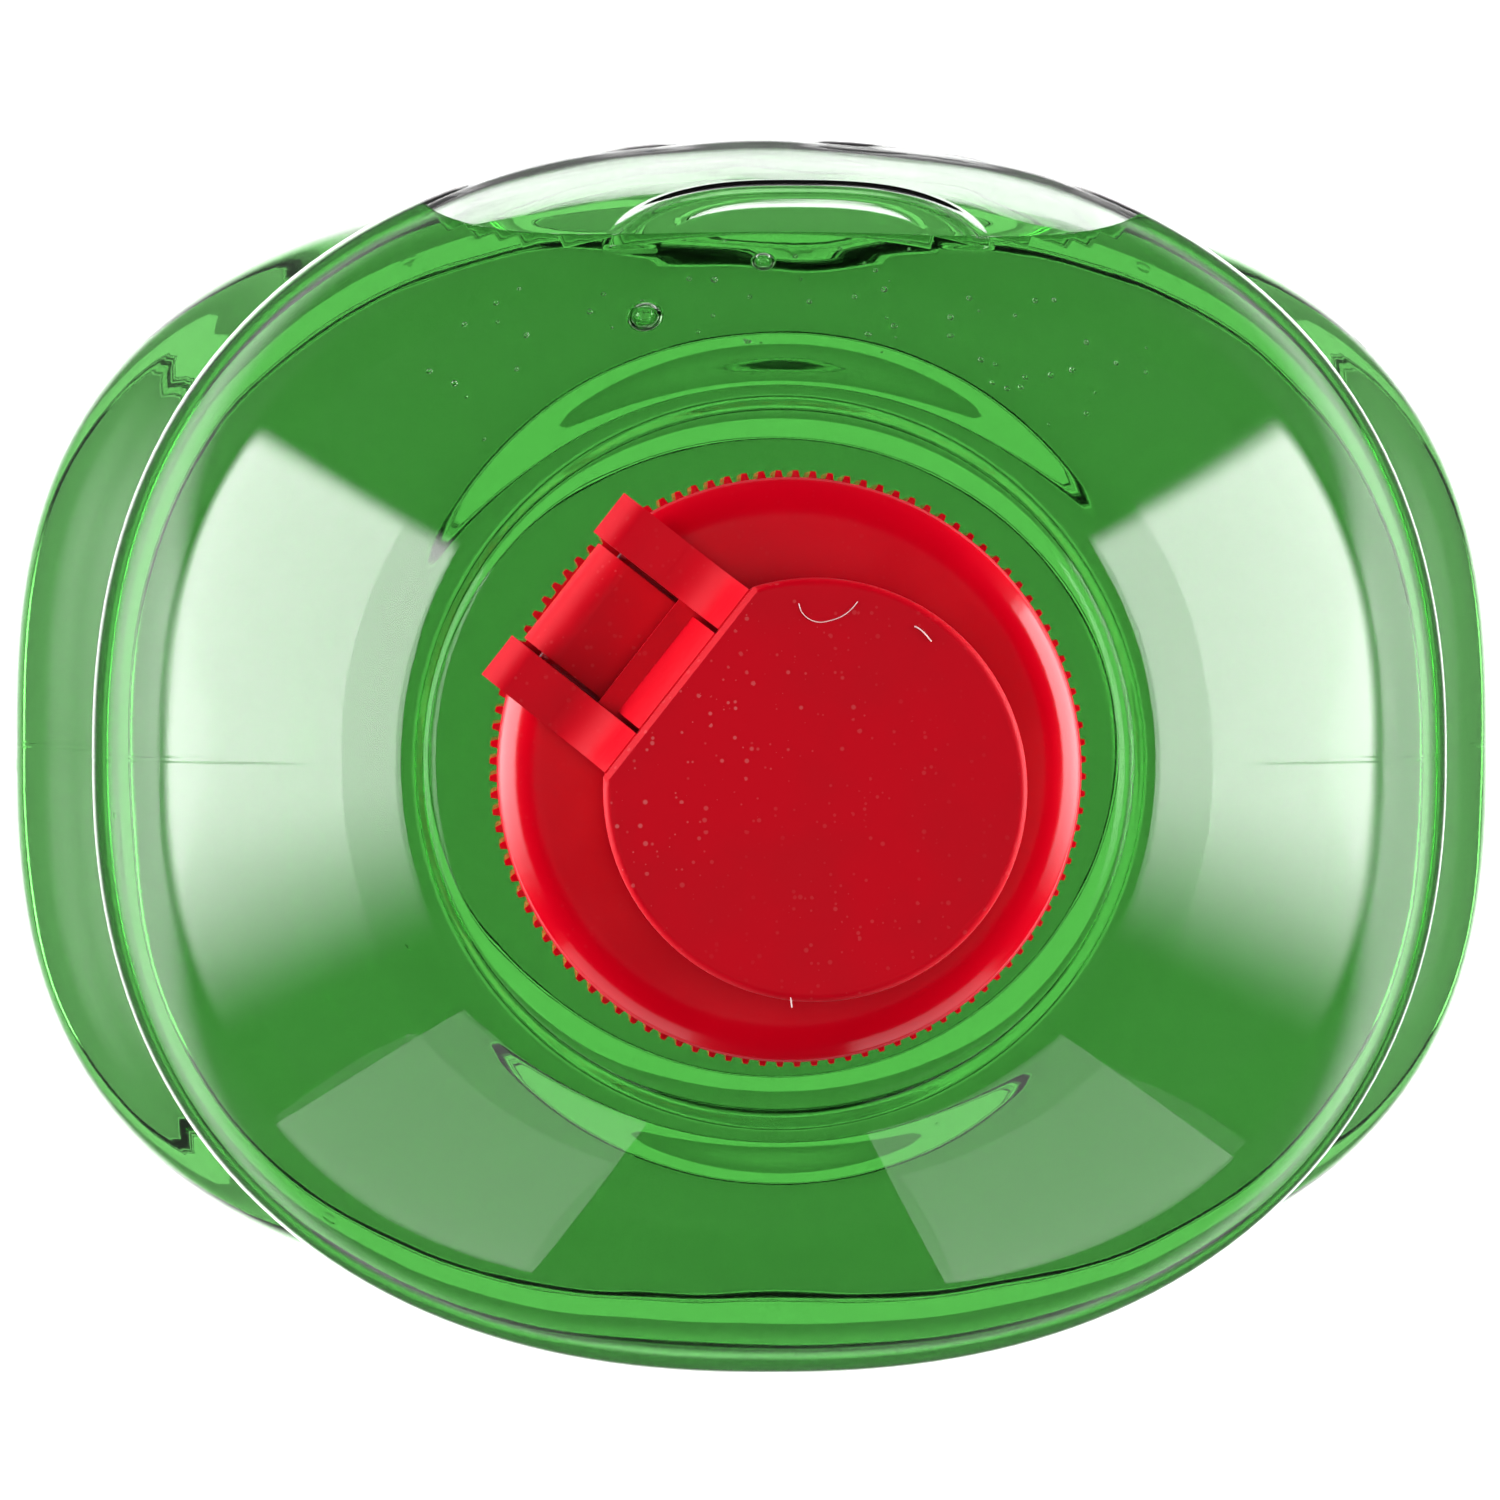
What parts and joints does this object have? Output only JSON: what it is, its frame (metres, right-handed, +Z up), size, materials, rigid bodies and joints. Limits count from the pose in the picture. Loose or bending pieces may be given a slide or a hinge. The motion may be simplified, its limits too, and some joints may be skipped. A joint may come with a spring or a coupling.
{
  "type": "dish soap bottle",
  "caption": "Clear waisted squeeze bottle of green dish soap with a ribbed red screw cap and a hinged flip-top lid over the pouring spout.",
  "frame": {"origin": "centre of the base, on the surface the bottle stands on", "axes": "+Z up along the neck; X across the wide front; -Y is the front; the lid's hinge is on the back left, at 141.8 degrees from +X"},
  "size_m": [0.0927, 0.0714, 0.2288],
  "materials": {
    "clear_pet": "clear blow-moulded PET, glossy",
    "green_soap": "clear green liquid",
    "red_cap": "moulded polypropylene, semi-gloss",
    "red_lid": "moulded polypropylene, satin with fine dust"
  },
  "bodies": {
    "bottle": {"bottle": "clear_pet", "dish_soap": "green_soap"},
    "cap": {"screw_cap": "red_cap"},
    "lid": {"flip_lid": "red_lid"}
  },
  "joints": [
    {"name": "cap_lift", "type": "slide", "parent": "bottle", "child": "cap", "axis": [0, 0, 1], "range_m": [0, 0.03]},
    {"name": "lid_flip", "type": "hinge", "parent": "cap", "child": "lid", "pos_m": [-0.01198, 0.00943, 0.2189], "axis": [-0.6184, -0.7859, 0], "range_deg": [0, 135]}
  ]
}
